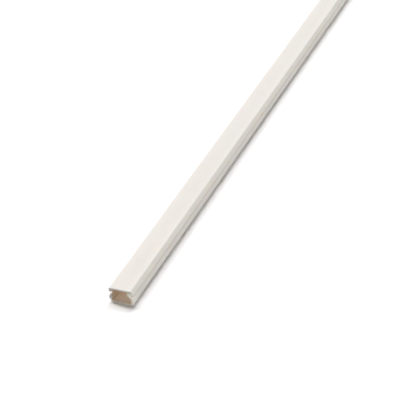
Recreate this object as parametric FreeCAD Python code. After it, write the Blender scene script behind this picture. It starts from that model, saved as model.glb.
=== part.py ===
# Cord cover raceway: one stick of extruded vinyl with a hinged lid, latched shut,
# lying on its mounting face.
# Millimetres. X runs along the stick, +Y is the latch side, -Y the hinge side, +Z is up.
# The origin is the middle of the mounting face; the end in front is at -X.
import math
import os

import FreeCAD
import Part

# Overall size
LENGTH = 1524.0
WIDTH = 19.05
HEIGHT = 11.4

# Base channel
FLOOR_T = 1.1
FOOT_INSET = 2.2
FOOT_R = 0.7
FLOOR_CORNER_R = 1.0

# Bellied wall on the latch side
BELLY_INSET = 0.4
BELLY_LOW_Z = 2.5
BELLY_HIGH_Z = 5.3
BELLY_R = 2.0
BELLY_T = 1.7

# Lip that hangs from the lid and hooks the catch
LIP_DEPTH = 3.3
LIP_T = 1.45
LIP_CORNER_R = 0.4
LIP_FOOT_R = 0.3
BARB_REACH = 0.7
BARB_T = 0.75
BARB_EDGE_T = 0.4

# Catch that stands on the bellied wall, inside the lip
CATCH_CLEARANCE = 0.3
CATCH_T = 1.05
CATCH_HOOK = 0.7
CATCH_R = 0.3
NECK_DROP = 1.4
NECK_INSET = 1.3

# Upright wall on the hinge side: its foot, its neck and the ledge under the lid's foot
WALL_INSET = 0.45
WALL_LOW_Z = 1.4
WALL_FOOT_R = 0.35
WALL_T = 2.0
WALL_BEND_R = 1.2
WAIST_INSET = 1.15
WAIST_DROP = 1.5
WAIST_R = 0.8
LEDGE_DEPTH = 3.8
LEDGE_INSET = 0.1
LEDGE_RUN = 2.0
LEDGE_R = 0.25

# Arm that leans in from the hinge wall under the lid's shoulder
ARM_REACH = 3.6
ARM_TIP_T = 1.05
ARM_TIP_R = 0.3
ARM_T = 1.5
ARM_BEND_DROP = 2.6

# Lid, its sloping shoulder and the thin web it folds on
LID_T = 1.2
LID_HEADROOM = 0.4
SHOULDER_RUN = 2.9
SHOULDER_DROP = 2.5
SHOULDER_TOP_R = 1.5
SHOULDER_FOOT_R = 1.5
HINGE_GAP = 0.45
WEB_T = 0.45
WEB_INSET = 1.0
WEB_BITE = 0.15

# Heights that follow from the lid's top
LIP_Z = HEIGHT - LIP_DEPTH
LEDGE_Z = HEIGHT - LEDGE_DEPTH
UNDER_LID_Z = HEIGHT - LID_T
REST_Z = UNDER_LID_Z - LID_HEADROOM


def latch(inset, z):
    """A point measured in from the latch side."""
    return FreeCAD.Vector(0, WIDTH / 2 - inset, z)


def hinge(inset, z):
    """A point measured in from the hinge side."""
    return FreeCAD.Vector(0, inset - WIDTH / 2, z)


def rounded_face(corners):
    """Closed flat face through (point, radius) corners, each turned with its own radius."""
    turns = []
    for i, (corner, radius) in enumerate(corners):
        back = (corners[i - 1][0] - corner).normalize()
        ahead = (corners[(i + 1) % len(corners)][0] - corner).normalize()
        if radius == 0:
            turns.append((corner, None, corner))
            continue
        half = back.getAngle(ahead) / 2
        reach = radius / math.tan(half)
        inward = (back + ahead).normalize()
        middle = corner + inward * (radius / math.sin(half) - radius)
        turns.append((corner + back * reach, middle, corner + ahead * reach))
    edges = []
    for i, (start, middle, end) in enumerate(turns):
        if middle is not None:
            edges.append(Part.Arc(start, middle, end).toShape())
        following = turns[(i + 1) % len(turns)][0]
        if (following - end).Length > 1e-6:
            edges.append(Part.LineSegment(end, following).toShape())
    return Part.Face(Part.Wire(edges))


def latch_wall():
    """Corners of the bellied wall and its catch, from the foot over the hook to the floor."""
    outer = LIP_T + BARB_REACH + CATCH_CLEARANCE
    inner = outer + CATCH_T
    hook_z = LIP_Z + BARB_T + CATCH_CLEARANCE
    return [
        (latch(FOOT_INSET, 0), FOOT_R),
        (latch(BELLY_INSET, BELLY_LOW_Z), BELLY_R / 2),
        (latch(BELLY_INSET, BELLY_HIGH_Z), BELLY_R),
        (latch(NECK_INSET, LIP_Z - NECK_DROP), CATCH_R),
        (latch(outer, LIP_Z - CATCH_CLEARANCE), CATCH_R),
        (latch(outer, hook_z), 0),
        (latch(outer - CATCH_HOOK, hook_z), CATCH_R / 3),
        (latch(outer, REST_Z), CATCH_R),
        (latch(inner, REST_Z), CATCH_R),
        (latch(inner, LIP_Z - CATCH_CLEARANCE), BELLY_R / 2),
        (latch(BELLY_INSET + BELLY_T, BELLY_HIGH_Z), BELLY_R),
        (latch(FOOT_INSET + FLOOR_T / 2, FLOOR_T), FLOOR_CORNER_R),
    ]


def hinge_wall():
    """Corners of the upright wall, from the floor up the leaning arm, over the ledge and down."""
    tip = LEDGE_INSET + LEDGE_RUN + ARM_REACH - ARM_TIP_T
    return [
        (hinge(WALL_INSET + WALL_T, FLOOR_T), FLOOR_CORNER_R),
        (hinge(WALL_INSET + WALL_T, LEDGE_Z - ARM_BEND_DROP), WALL_BEND_R),
        (hinge(tip + ARM_TIP_T, REST_Z - ARM_T), ARM_TIP_R * 2),
        (hinge(tip + ARM_TIP_T / 2, REST_Z), ARM_TIP_R),
        (hinge(tip, REST_Z), ARM_TIP_R / 2),
        (hinge(LEDGE_INSET + LEDGE_RUN, LEDGE_Z), LEDGE_R * 3),
        (hinge(LEDGE_INSET, LEDGE_Z), LEDGE_R),
        (hinge(WAIST_INSET, LEDGE_Z - WAIST_DROP), WAIST_R),
        (hinge(WALL_INSET, WALL_LOW_Z), WALL_FOOT_R),
        (hinge(FOOT_INSET, 0), FOOT_R),
    ]


def lid_face():
    """Flat lid with the hooked lip on one side and the sloping shoulder on the other."""
    foot_z = LEDGE_Z + HINGE_GAP
    arm_top = LEDGE_INSET + LEDGE_RUN + ARM_REACH - ARM_TIP_T
    return rounded_face([
        (latch(0, HEIGHT), LIP_CORNER_R),
        (latch(0, LIP_Z), LIP_FOOT_R),
        (latch(LIP_T + BARB_REACH, LIP_Z), LIP_FOOT_R),
        (latch(LIP_T + BARB_REACH, LIP_Z + BARB_EDGE_T), 0.1),
        (latch(LIP_T, LIP_Z + BARB_T), 0.1),
        (latch(LIP_T, UNDER_LID_Z), LIP_FOOT_R),
        (hinge(arm_top - HINGE_GAP / 2, UNDER_LID_Z), ARM_TIP_R * 2),
        (hinge(LEDGE_INSET + LEDGE_RUN - HINGE_GAP / 2, foot_z), LEDGE_R * 3),
        (hinge(0, foot_z), LEDGE_R / 2),
        (hinge(0, HEIGHT - SHOULDER_DROP), SHOULDER_FOOT_R),
        (hinge(SHOULDER_RUN, HEIGHT), SHOULDER_TOP_R),
    ])


def hinge_web_face():
    """Thin web that joins the shoulder's foot to the ledge."""
    low = LEDGE_Z - WEB_BITE
    high = LEDGE_Z + HINGE_GAP + WEB_BITE
    return rounded_face([
        (hinge(WEB_INSET, low), 0),
        (hinge(WEB_INSET + WEB_T, low), 0),
        (hinge(WEB_INSET + WEB_T, high), 0),
        (hinge(WEB_INSET, high), 0),
    ])


def drawn_out(section):
    """The section pulled along the whole stick."""
    solid = section.extrude(FreeCAD.Vector(LENGTH, 0, 0))
    solid.translate(FreeCAD.Vector(-LENGTH / 2, 0, 0))
    return solid


def raceway():
    """Base, hinge web and lid, extruded as one piece."""
    base = drawn_out(rounded_face(latch_wall() + hinge_wall()))
    stick = base.fuse([drawn_out(hinge_web_face()), drawn_out(lid_face())])
    return stick.removeSplitter().Solids[0]


os.makedirs("parts", exist_ok=True)
raceway().exportStep("parts/raceway.step")
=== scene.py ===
"""Looks of the cord cover raceway: one stick of ivory vinyl lying on a pale studio floor."""
import math

import bmesh
import bpy
from mathutils import Matrix, Vector


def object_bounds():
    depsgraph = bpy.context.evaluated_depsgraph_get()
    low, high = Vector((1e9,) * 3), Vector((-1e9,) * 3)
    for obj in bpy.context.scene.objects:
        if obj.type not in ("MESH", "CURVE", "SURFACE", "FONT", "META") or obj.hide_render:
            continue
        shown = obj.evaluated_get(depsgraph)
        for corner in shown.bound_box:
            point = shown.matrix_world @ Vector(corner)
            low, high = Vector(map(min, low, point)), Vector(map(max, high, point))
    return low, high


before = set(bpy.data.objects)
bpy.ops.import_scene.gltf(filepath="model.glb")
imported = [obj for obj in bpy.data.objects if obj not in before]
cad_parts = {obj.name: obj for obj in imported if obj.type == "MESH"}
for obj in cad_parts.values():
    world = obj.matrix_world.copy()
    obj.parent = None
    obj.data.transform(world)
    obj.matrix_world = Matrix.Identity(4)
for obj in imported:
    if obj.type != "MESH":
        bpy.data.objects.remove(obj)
CAD_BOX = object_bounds()

MM = 0.001

# The photograph: its width in pixels, the lens in those pixels, and how the camera is held
PHOTO_PX = 400
FOCAL_PX = 1690
SENSOR_MM = 36
CAMERA_PITCH = math.radians(31.2)
CAMERA_HEADING = math.radians(20.1)
CAMERA_DEPTH = 1.162
CAMERA_CLIP = (0.01, 200)
CORNER_PX = (108.3, 287.4)

# Colours of the skin
IVORY = (0.90, 0.93, 0.93)
BUTTER = (0.90, 0.92, 0.905)
IVORY_DEEP = (0.82, 0.81, 0.77)
# Painted shade: the sloping shoulder of the lid on the hinge side is darker than the top
SHOULDER_SHADE = (0.77, 0.78, 0.76)
# Painted light: the hinge-side wall of the base is lighter than the lid
BASE_PAINTED_LIGHT = (0.93, 0.925, 0.92)
# Painted shade along the hinge groove between the lid and the base
GROOVE_SHADE = (0.42, 0.37, 0.31)
MOTTLING = 0.3
STREAKS = 0.6

# Noise patterns: how many per metre along X, Y and Z, and the range of values that shows
DRIFT = (3.0, 60.0, 60.0)
DRIFT_SHOWN = (0.3, 0.7)
MOTTLE = (350.0, 350.0, 350.0)
MOTTLE_SHOWN = (0.45, 0.8)
DIE_LINES = (2.0, 1400.0, 1400.0)
STREAKS_SHOWN = (0.5, 0.75)
SCUFFS = (55.0, 900.0, 900.0)
SCUFFS_SHOWN = (0.62, 0.72)
SAW_MARKS = (1.0, 500.0, 3500.0)
SAW_MARKS_SHOWN = (0.35, 0.7)

# Painted light and shade inside the wireway: a light beige floor, and a dark warm brown under the lid
INSIDE_LIT_FLOOR = (0.99, 0.94, 0.86)
INSIDE_SHADE_UNDER_LID = (0.70, 0.51, 0.36)

# Colours of the sawn ends, grey as painted shade; painted light makes them palest towards the floor and
# the hinge
SAWN_SHADED = (0.61, 0.59, 0.58)
SAWN_SHADED_DEEP = (0.55, 0.53, 0.505)
SAWN_PAINTED_LIGHT = (0.98, 0.91, 0.82)
# Painted shadow: a dark line along the bottom edge of the cut, where the stick meets the floor
BOTTOM_EDGE_SHADOW = (0.45, 0.38, 0.29)

# Light that spreads just under the skin
SKIN_DEPTH_WEIGHT = 0.25
SKIN_DEPTH = 0.8 * MM
SKIN_REACH = (1.0, 0.6, 0.35)

# Light that passes through the thin walls: its colour, and its share in thin and in solid parts
THROUGH_SKIN = (0.90, 0.89, 0.86)
THROUGH_INSIDE = (0.92, 0.78, 0.59)
THROUGH_THIN = 0.36
THROUGH_SOLID = 0.06
LATCH_SOLIDITY = 0.7

# Gloss and relief
ROUGHNESS = 0.34
DIE_LINE_ROUGHNESS = 0.18
SAWN_ROUGHNESS = 0.35
SCUFF_ROUGHNESS = 0.10
VINYL_IOR = 1.53
RELIEF = 0.05 * MM
RELIEF_STRENGTH = 0.5
SAW_RELIEF = 2.0

# A face counts as sawn where it points more than this along the stick, and as level where it points
# less than this across it
SAWN_FACING = 0.7
LEVEL_FACING = 0.25

# Heights and places where the finishes and the painted light and shade change; Y is measured from the
# middle of the stick
LID_UNDERSIDE = 10.4 * MM
FLOOR_TOP = 0.9 * MM
LEDGE_TOP = 7.6 * MM
GROOVE_HEIGHT = 7.95 * MM
GROOVE_HALF = 0.55 * MM
HINGE_FACE_Y = -7.4 * MM
SHOULDER_TOP_Y = -6.2 * MM
SHOULDER_BLEND = 1.2 * MM

# Ranges over which a finish or a painted light or shade fades in: heights, or places across the stick
# where the name ends in Y
GROOVE_FADE = (GROOVE_HALF * 1.4, GROOVE_HALF * 0.6)
INSIDE_SHADE_RISE = (1.5 * MM, 7.0 * MM)
PALE_CUT_LOW = (3.0 * MM, 1.2 * MM)
PALE_CUT_ARM = (10.6 * MM, 9.0 * MM)
PALE_CUT_ARM_Y = (-2.0 * MM, -6.0 * MM)
BOTTOM_SHADOW_FADE = (0.35 * MM, 0.15 * MM)
SOLID_FLOOR = (3.0 * MM, 1.3 * MM)
LATCH_WALL_Y = (4.5 * MM, 6.0 * MM)

# Even light from all round, and the white that the camera sees instead
WORLD_LEVEL = (0.01, 0.01, 0.01)
WORLD_SEEN = (1.0, 1.0, 1.0)

# Floor: the tone that lights the stick and the one that the camera sees
FLOOR_SIZE = 60.0
FLOOR_TONE = (0.90, 0.90, 0.90)
FLOOR_SEEN = (1.11, 1.11, 1.11)

# Lamps: strength, spread in degrees, lean across the stick towards +Y and lean along it towards +X
LAMPS = {
    "overhead": (0.21, 22, 7, 16),
    "behind": (0.46, 20, 8, 42),
    "upper_left": (0.315, 18, 30, 16),
    "latch_side": (0.62, 16, 76, 22),
    "hinge_side": (0.44, 6, -87, 4),
    "front": (0.22, 24, 32, -58),
}


def node(tree, kind, **settings):
    """A new shader node with its settings."""
    made = tree.nodes.new(kind)
    for name, value in settings.items():
        setattr(made, name, value)
    return made


def fresh_material(name):
    """An empty node material and its output node."""
    material = bpy.data.materials.new(name)
    material.use_nodes = True
    tree = material.node_tree
    tree.nodes.clear()
    return material, tree, node(tree, "ShaderNodeOutputMaterial")


def feed(tree, socket, value):
    """Link a socket, or set a number or a colour, on an input."""
    if isinstance(value, (int, float)):
        socket.default_value = value
    elif isinstance(value, tuple):
        socket.default_value = (*value, 1)
    else:
        tree.links.new(value, socket)


def maths(tree, operation, *values):
    """One Math node; each input is a socket or a number."""
    made = node(tree, "ShaderNodeMath", operation=operation)
    for socket, value in zip(made.inputs, values):
        feed(tree, socket, value)
    return made.outputs[0]


def product(tree, *factors):
    """All factors multiplied."""
    result = factors[0]
    for factor in factors[1:]:
        result = maths(tree, "MULTIPLY", result, factor)
    return result


def largest(tree, *values):
    """The largest of several values."""
    result = values[0]
    for value in values[1:]:
        result = maths(tree, "MAXIMUM", result, value)
    return result


def between(tree, factor, at_zero, at_one):
    """A number that runs from one value to another with a 0..1 factor."""
    return maths(tree, "MULTIPLY_ADD", factor, at_one - at_zero, at_zero)


def ramp(tree, value, start, end):
    """Smoothly 0 to 1 while the value runs from start to end."""
    made = node(tree, "ShaderNodeMapRange", interpolation_type="SMOOTHSTEP")
    made.inputs["From Min"].default_value = start
    made.inputs["From Max"].default_value = end
    tree.links.new(value, made.inputs["Value"])
    return made.outputs["Result"]


def blended(tree, factor, first, second):
    """Two colours mixed by a factor; each colour is a socket or a tuple."""
    mix = node(tree, "ShaderNodeMix", data_type="RGBA")
    tree.links.new(factor, mix.inputs["Factor"])
    first_colour, second_colour = (socket for socket in mix.inputs if socket.type == "RGBA")
    feed(tree, first_colour, first)
    feed(tree, second_colour, second)
    return next(socket for socket in mix.outputs if socket.type == "RGBA")


def noise(tree, coordinates, stretch, detail=3.0, roughness=0.5):
    """Noise on object coordinates, with its own count per metre along each axis."""
    mapping = node(tree, "ShaderNodeMapping")
    mapping.inputs["Scale"].default_value = stretch
    tree.links.new(coordinates, mapping.inputs["Vector"])
    made = node(tree, "ShaderNodeTexNoise")
    made.inputs["Scale"].default_value = 1.0
    made.inputs["Detail"].default_value = detail
    made.inputs["Roughness"].default_value = roughness
    tree.links.new(mapping.outputs[0], made.inputs["Vector"])
    return made.outputs["Fac"]


def axes(tree, vector):
    """The X, Y and Z of a vector."""
    split = node(tree, "ShaderNodeSeparateXYZ")
    tree.links.new(vector, split.inputs[0])
    return split.outputs


def in_wireway(tree, place, facing, at_end):
    """1 on the faces that look into the wireway."""
    under_lid = maths(tree, "LESS_THAN", place["Z"], LID_UNDERSIDE)
    over_floor = maths(tree, "GREATER_THAN", place["Z"], FLOOR_TOP)
    faces_in = maths(tree, "LESS_THAN", product(tree, place["Y"], facing["Y"]), 0.0)
    level = maths(tree, "LESS_THAN", maths(tree, "ABSOLUTE", facing["Y"]), LEVEL_FACING)
    on_side = maths(tree, "SUBTRACT", 1.0, at_end)
    return product(tree, under_lid, over_floor, largest(tree, faces_in, level), on_side)


def skin_colour(tree, coordinates, place, die_lines):
    """Ivory with a slow drift, faint mottling and streaks, and painted shade on the shoulder, painted
    light on the hinge wall and painted shade in the groove.
    """
    drift = noise(tree, coordinates, DRIFT, detail=2.0)
    mottle = noise(tree, coordinates, MOTTLE)
    colour = blended(tree, ramp(tree, drift, *DRIFT_SHOWN), IVORY, BUTTER)
    deeper = largest(tree, product(tree, ramp(tree, mottle, *MOTTLE_SHOWN), MOTTLING),
                     product(tree, ramp(tree, die_lines, *STREAKS_SHOWN), STREAKS))
    colour = blended(tree, deeper, colour, IVORY_DEEP)

    # Painted shade on the hinge-side shoulder
    above_groove = maths(tree, "GREATER_THAN", place["Z"], GROOVE_HEIGHT)
    shaded_slope = product(tree, above_groove,
                    ramp(tree, place["Y"], SHOULDER_TOP_Y, SHOULDER_TOP_Y - SHOULDER_BLEND))
    colour = blended(tree, shaded_slope, colour, SHOULDER_SHADE)

    # Painted light on the hinge-side base wall
    on_hinge_side = maths(tree, "LESS_THAN", place["Y"], HINGE_FACE_Y)
    on_base = product(tree, on_hinge_side, maths(tree, "LESS_THAN", place["Z"], LEDGE_TOP))
    colour = blended(tree, on_base, colour, BASE_PAINTED_LIGHT)

    # Painted shade in the hinge groove
    off_groove = maths(tree, "ABSOLUTE", maths(tree, "SUBTRACT", place["Z"], GROOVE_HEIGHT))
    in_groove = product(tree, on_hinge_side, ramp(tree, off_groove, *GROOVE_FADE))
    return blended(tree, in_groove, colour, GROOVE_SHADE)


def wireway_light_and_shade(tree, place):
    """Painted light and shade: light beige at the floor, darker and warmer towards the lid."""
    return blended(tree, ramp(tree, place["Z"], *INSIDE_SHADE_RISE), INSIDE_LIT_FLOOR, INSIDE_SHADE_UNDER_LID)


def sawn_colour(tree, place, saw_marks):
    """Streaky cut, grey as painted shade, with painted light towards the floor and the hinge and a
    painted shadow line along the bottom edge.
    """
    colour = blended(tree, ramp(tree, saw_marks, *SAW_MARKS_SHOWN), SAWN_SHADED, SAWN_SHADED_DEEP)
    # Painted light on the cut towards the floor and the hinge
    near_floor = ramp(tree, place["Z"], *PALE_CUT_LOW)
    near_hinge = product(tree, ramp(tree, place["Z"], *PALE_CUT_ARM),
                         ramp(tree, place["Y"], *PALE_CUT_ARM_Y))
    colour = blended(tree, largest(tree, near_floor, near_hinge), colour, SAWN_PAINTED_LIGHT)
    # Painted shadow line along the bottom edge of the cut
    return blended(tree, ramp(tree, place["Z"], *BOTTOM_SHADOW_FADE), colour, BOTTOM_EDGE_SHADOW)


def light_passed(tree, place, at_end, inside):
    """The walls let light through: share of it at each place, and the shader that gives it."""
    at_latch = product(tree, maths(tree, "LESS_THAN", place["Z"], LID_UNDERSIDE),
                       ramp(tree, place["Y"], *LATCH_WALL_Y))
    on_floor = product(tree, inside, ramp(tree, place["Z"], *SOLID_FLOOR))
    solidity = largest(tree, at_end, product(tree, at_latch, LATCH_SOLIDITY), on_floor)
    shader = node(tree, "ShaderNodeBsdfTranslucent")
    feed(tree, shader.inputs["Color"], blended(tree, inside, THROUGH_SKIN, THROUGH_INSIDE))
    return between(tree, solidity, THROUGH_THIN, THROUGH_SOLID), shader


def vinyl():
    """Ivory extruded vinyl: die lines and faint scuffs along the stick, sawn ends, and painted light and
    shade on the shoulder, hinge wall, groove, cut ends and in the wireway.
    """
    material, tree, output = fresh_material("ivory_vinyl")
    coordinates = node(tree, "ShaderNodeTexCoord").outputs["Object"]
    place = axes(tree, coordinates)
    facing = axes(tree, node(tree, "ShaderNodeNewGeometry").outputs["True Normal"])
    at_end = maths(tree, "GREATER_THAN", maths(tree, "ABSOLUTE", facing["X"]), SAWN_FACING)
    on_side = maths(tree, "SUBTRACT", 1.0, at_end)
    inside = in_wireway(tree, place, facing, at_end)

    die_lines = noise(tree, coordinates, DIE_LINES, detail=4.0, roughness=0.6)
    scuffs = ramp(tree, noise(tree, coordinates, SCUFFS, detail=2.0), *SCUFFS_SHOWN)
    saw_marks = noise(tree, coordinates, SAW_MARKS, detail=5.0, roughness=0.7)

    colour = skin_colour(tree, coordinates, place, die_lines)
    # Painted light and shade inside the wireway
    colour = blended(tree, inside, colour, wireway_light_and_shade(tree, place))
    colour = blended(tree, at_end, colour, sawn_colour(tree, place, saw_marks))
    roughness = between(tree, die_lines, ROUGHNESS, ROUGHNESS + DIE_LINE_ROUGHNESS)
    roughness = maths(tree, "MULTIPLY_ADD", scuffs, SCUFF_ROUGHNESS, roughness)
    roughness = maths(tree, "MULTIPLY_ADD", at_end, SAWN_ROUGHNESS, roughness)

    relief = node(tree, "ShaderNodeBump")
    relief.inputs["Strength"].default_value = RELIEF_STRENGTH
    relief.inputs["Distance"].default_value = RELIEF
    lines = product(tree, on_side, die_lines)
    cuts = product(tree, at_end, saw_marks, SAW_RELIEF)
    tree.links.new(maths(tree, "ADD", lines, cuts), relief.inputs["Height"])

    body = node(tree, "ShaderNodeBsdfPrincipled")
    tree.links.new(colour, body.inputs["Base Color"])
    tree.links.new(roughness, body.inputs["Roughness"])
    tree.links.new(relief.outputs[0], body.inputs["Normal"])
    body.inputs["IOR"].default_value = VINYL_IOR
    body.inputs["Subsurface Weight"].default_value = SKIN_DEPTH_WEIGHT
    body.inputs["Subsurface Radius"].default_value = SKIN_REACH
    body.inputs["Subsurface Scale"].default_value = SKIN_DEPTH

    share, passed = light_passed(tree, place, at_end, inside)
    mixed = node(tree, "ShaderNodeMixShader")
    tree.links.new(share, mixed.inputs["Fac"])
    tree.links.new(body.outputs[0], mixed.inputs[1])
    tree.links.new(passed.outputs[0], mixed.inputs[2])
    tree.links.new(mixed.outputs[0], output.inputs["Surface"])
    return material


def seen_directly(tree):
    """1 for what the camera sees, also in a reflection or through something clear."""
    rays = node(tree, "ShaderNodeLightPath").outputs
    return largest(tree, rays["Is Camera Ray"], rays["Is Glossy Ray"], rays["Is Transmission Ray"])


def floor_material():
    """Pale floor that the camera sees a little brighter than it lights the stick."""
    material, tree, output = fresh_material("studio_floor")
    shader = node(tree, "ShaderNodeBsdfDiffuse")
    tree.links.new(blended(tree, seen_directly(tree), FLOOR_TONE, FLOOR_SEEN), shader.inputs["Color"])
    tree.links.new(shader.outputs[0], output.inputs["Surface"])
    return material


def studio_floor():
    """A wide flat floor under the stick."""
    mesh = bpy.data.meshes.new("floor")
    build = bmesh.new()
    bmesh.ops.create_grid(build, x_segments=1, y_segments=1, size=FLOOR_SIZE / 2)
    build.to_mesh(mesh)
    build.free()
    floor = bpy.data.objects.new("floor", mesh)
    bpy.context.collection.objects.link(floor)
    mesh.materials.append(floor_material())


def lamp(name, strength, spread, across, along):
    """A soft lamp far away; strength 1 from straight above lights a level surface as it is written."""
    data = bpy.data.lights.new(name, "SUN")
    data.energy = strength * math.pi
    data.angle = math.radians(spread)
    holder = bpy.data.objects.new(name, data)
    bpy.context.collection.objects.link(holder)
    across, along = math.radians(across), math.radians(along)
    level = math.cos(along)
    towards = Vector((math.sin(along), level * math.sin(across), level * math.cos(across)))
    holder.rotation_mode = "QUATERNION"
    holder.rotation_quaternion = towards.to_track_quat("Z", "Y")


def studio_world():
    """Even light from all round; the camera sees it white."""
    world = bpy.data.worlds.new("studio")
    bpy.context.scene.world = world
    world.use_nodes = True
    tree = world.node_tree
    shown = blended(tree, seen_directly(tree), WORLD_LEVEL, WORLD_SEEN)
    tree.links.new(shown, tree.nodes["Background"].inputs["Color"])


def photo_camera():
    """The camera that sees the near end where the photograph shows it."""
    heading = Vector((math.cos(CAMERA_HEADING), math.sin(CAMERA_HEADING), 0))
    ahead = heading * math.cos(CAMERA_PITCH) - Vector((0, 0, math.sin(CAMERA_PITCH)))
    right = Vector((math.sin(CAMERA_HEADING), -math.cos(CAMERA_HEADING), 0))
    up = right.cross(ahead)
    corner = Vector((CAD_BOX[0].x, CAD_BOX[1].y, CAD_BOX[1].z))
    across = (CORNER_PX[0] - PHOTO_PX / 2) / FOCAL_PX
    down = (CORNER_PX[1] - PHOTO_PX / 2) / FOCAL_PX
    place = corner - (ahead + right * across - up * down) * CAMERA_DEPTH
    data = bpy.data.cameras.new("photo_camera")
    data.sensor_width = SENSOR_MM
    data.lens = FOCAL_PX / PHOTO_PX * SENSOR_MM
    data.clip_start, data.clip_end = CAMERA_CLIP
    camera = bpy.data.objects.new("photo_camera", data)
    bpy.context.collection.objects.link(camera)
    camera.matrix_world = Matrix.Translation(place) @ Matrix((right, up, -ahead)).transposed().to_4x4()
    bpy.context.scene.camera = camera


def dress_raceway():
    """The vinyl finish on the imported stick."""
    finish = vinyl()
    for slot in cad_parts["raceway"].material_slots:
        slot.material = finish


dress_raceway()
studio_floor()
for name, settings in LAMPS.items():
    lamp(name, *settings)
studio_world()
photo_camera()
bpy.context.scene.view_settings.view_transform = "Standard"
